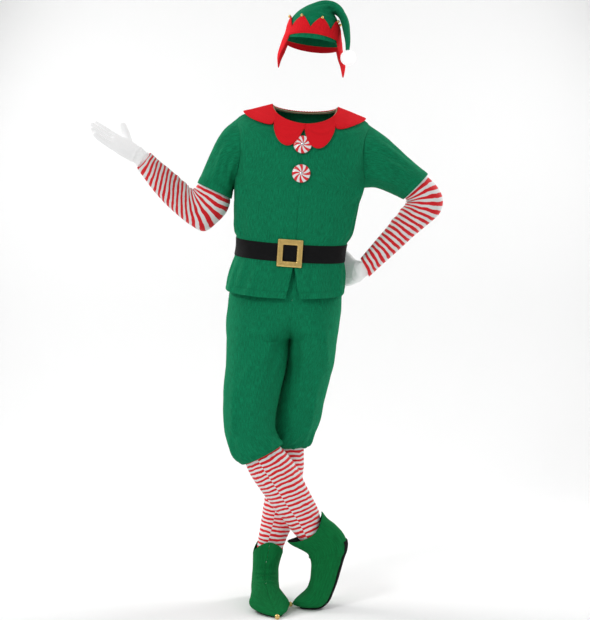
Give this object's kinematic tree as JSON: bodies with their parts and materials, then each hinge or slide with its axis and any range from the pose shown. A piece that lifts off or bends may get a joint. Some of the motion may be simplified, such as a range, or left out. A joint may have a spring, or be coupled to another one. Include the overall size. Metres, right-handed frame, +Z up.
{
  "type": "elf costume",
  "caption": "Hollow worn elf costume: hat with folded tail, tunic with petal collar, belt and buttons, breeches, striped sleeves and stockings, gloves and shoe covers.",
  "frame": {"origin": "middle of the wearer's shoulders at the neck, 1.490 m above the ground, where the shoulders carry the tunic", "axes": "+Z is up; the wearer faces -Y; +X is the wearer's left"},
  "size_m": [1.0399, 0.3903, 1.7996],
  "materials": {
    "green_fleece": "matt brushed fleece",
    "green_felt": "matt felt",
    "red_felt": "matt felt",
    "striped_knit": "fine red and white striped jersey",
    "white_cloth": "matt white jersey and soft pile",
    "neck_tape": "cotton tape",
    "belt_black": "matt elastic webbing",
    "sole_black": "thin matt sole sheet",
    "buckle_gold": "rough gold foil",
    "button_candy": "glossy, red swirl on white",
    "bell_gold": "polished"
  },
  "bodies": {
    "root": {"tunic_front_right": "green_fleece", "tunic_front_left": "green_fleece", "tunic_back": "green_fleece", "tunic_sleeve_right": "green_fleece", "tunic_sleeve_left": "green_fleece", "tunic_collar": "red_felt", "neck_tape": "neck_tape", "belt": "belt_black", "belt_buckle": "buckle_gold", "button_upper": "button_candy", "button_lower": "button_candy", "breeches_right": "green_fleece", "breeches_left": "green_fleece", "striped_sleeve_right": "striped_knit", "striped_sleeve_left": "striped_knit", "stocking_right": "striped_knit", "stocking_left": "striped_knit", "glove_right": "white_cloth", "glove_left": "white_cloth", "hat_crown": "green_fleece", "hat_band": "red_felt", "hat_pompom": "white_cloth", "hat_bell_1": "bell_gold", "hat_bell_2": "bell_gold", "hat_bell_3": "bell_gold", "hat_bell_4": "bell_gold", "hat_bell_5": "bell_gold", "hat_bell_6": "bell_gold", "hat_bell_7": "bell_gold", "hat_bell_8": "bell_gold", "shoe_left_outer": "green_felt", "shoe_left_inner": "green_felt", "shoe_left_sole": "sole_black", "shoe_left_bell": "bell_gold", "shoe_right_outer": "green_felt", "shoe_right_inner": "green_felt", "shoe_right_sole": "sole_black", "shoe_right_bell": "bell_gold"}
  },
  "joints": []
}
